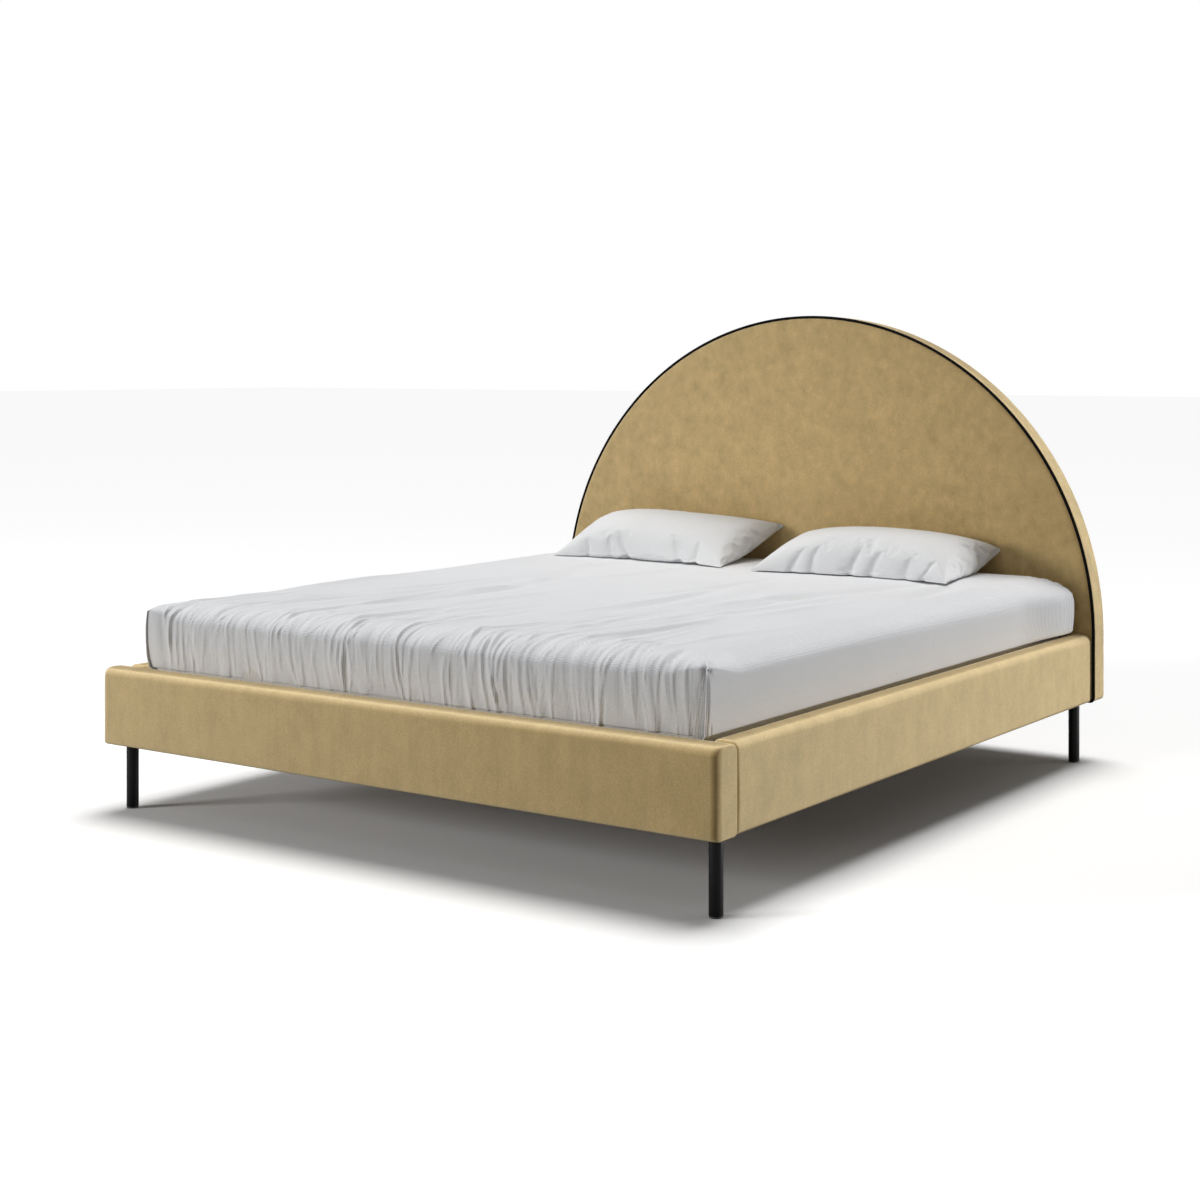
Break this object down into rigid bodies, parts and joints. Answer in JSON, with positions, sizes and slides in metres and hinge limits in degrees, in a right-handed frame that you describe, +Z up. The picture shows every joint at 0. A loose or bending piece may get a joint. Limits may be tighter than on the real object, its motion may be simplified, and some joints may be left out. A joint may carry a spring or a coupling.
{
  "type": "upholstered bed",
  "caption": "Double bed with velvet rails, a half-round velvet headboard edged in black piping, slim round legs, slatted base, dressed mattress and pillows.",
  "frame": {"origin": "on the floor under the middle of the bed's width and length", "axes": "+X to the right seen from the foot, +Y from the foot to the headboard, +Z up"},
  "size_m": [1.9234, 2.19, 1.3315],
  "materials": {
    "velvet": "matte",
    "piping": "matte",
    "backing": "matte",
    "foam": "matte",
    "board": "matte",
    "timber": "matte",
    "slat": "satin",
    "leg_metal": "satin",
    "glide": "matte",
    "holder": "matte",
    "bracket_steel": "satin",
    "zinc": "satin",
    "sheet": "matte",
    "ticking": "matte",
    "pillowcase": "matte",
    "filling": "matte"
  },
  "bodies": {
    "frame": {"headboard_front_cover": "velvet", "headboard_band_cover": "velvet", "headboard_piping": "piping", "headboard_backing": "backing", "headboard_front_foam": "foam", "headboard_band_foam": "foam", "headboard_back_wadding": "foam", "headboard_front_board": "board", "headboard_back_board": "board", "headboard_posts": "timber", "headboard_foot_member": "timber", "headboard_rim": "timber", "headboard_uprights": "timber", "foot_rail_cover": "velvet", "foot_rail_foam": "foam", "foot_rail_core": "timber", "left_rail_cover": "velvet", "left_rail_foam": "foam", "left_rail_core": "timber", "right_rail_cover": "velvet", "right_rail_foam": "foam", "right_rail_core": "timber", "corner_brackets": "bracket_steel", "left_ledge": "timber", "right_ledge": "timber", "centre_beam": "timber", "beam_hangers": "bracket_steel", "left_slats": "slat", "right_slats": "slat", "left_slat_holders": "holder", "right_slat_holders": "holder", "centre_slat_holders": "holder", "leg_front_left": "leg_metal", "leg_front_right": "leg_metal", "leg_rear_left": "leg_metal", "leg_rear_right": "leg_metal", "centre_legs": "leg_metal", "leg_glides": "glide"},
    "mattress": {"mattress_core": "filling", "mattress_ticking": "ticking", "fitted_sheet": "sheet"},
    "left_pillow": {"left_pillow_filling": "filling", "left_pillowcase": "pillowcase"},
    "right_pillow": {"right_pillow_filling": "filling", "right_pillowcase": "pillowcase"}
  },
  "joints": [
    {"name": "mattress_lift", "type": "slide", "parent": "frame", "child": "mattress", "axis": [0, 0, 1], "range_m": [0, 0.4]},
    {"name": "left_pillow_lift", "type": "slide", "parent": "mattress", "child": "left_pillow", "axis": [0, 0, 1], "range_m": [0, 0.3]},
    {"name": "right_pillow_lift", "type": "slide", "parent": "mattress", "child": "right_pillow", "axis": [0, 0, 1], "range_m": [0, 0.3]}
  ]
}
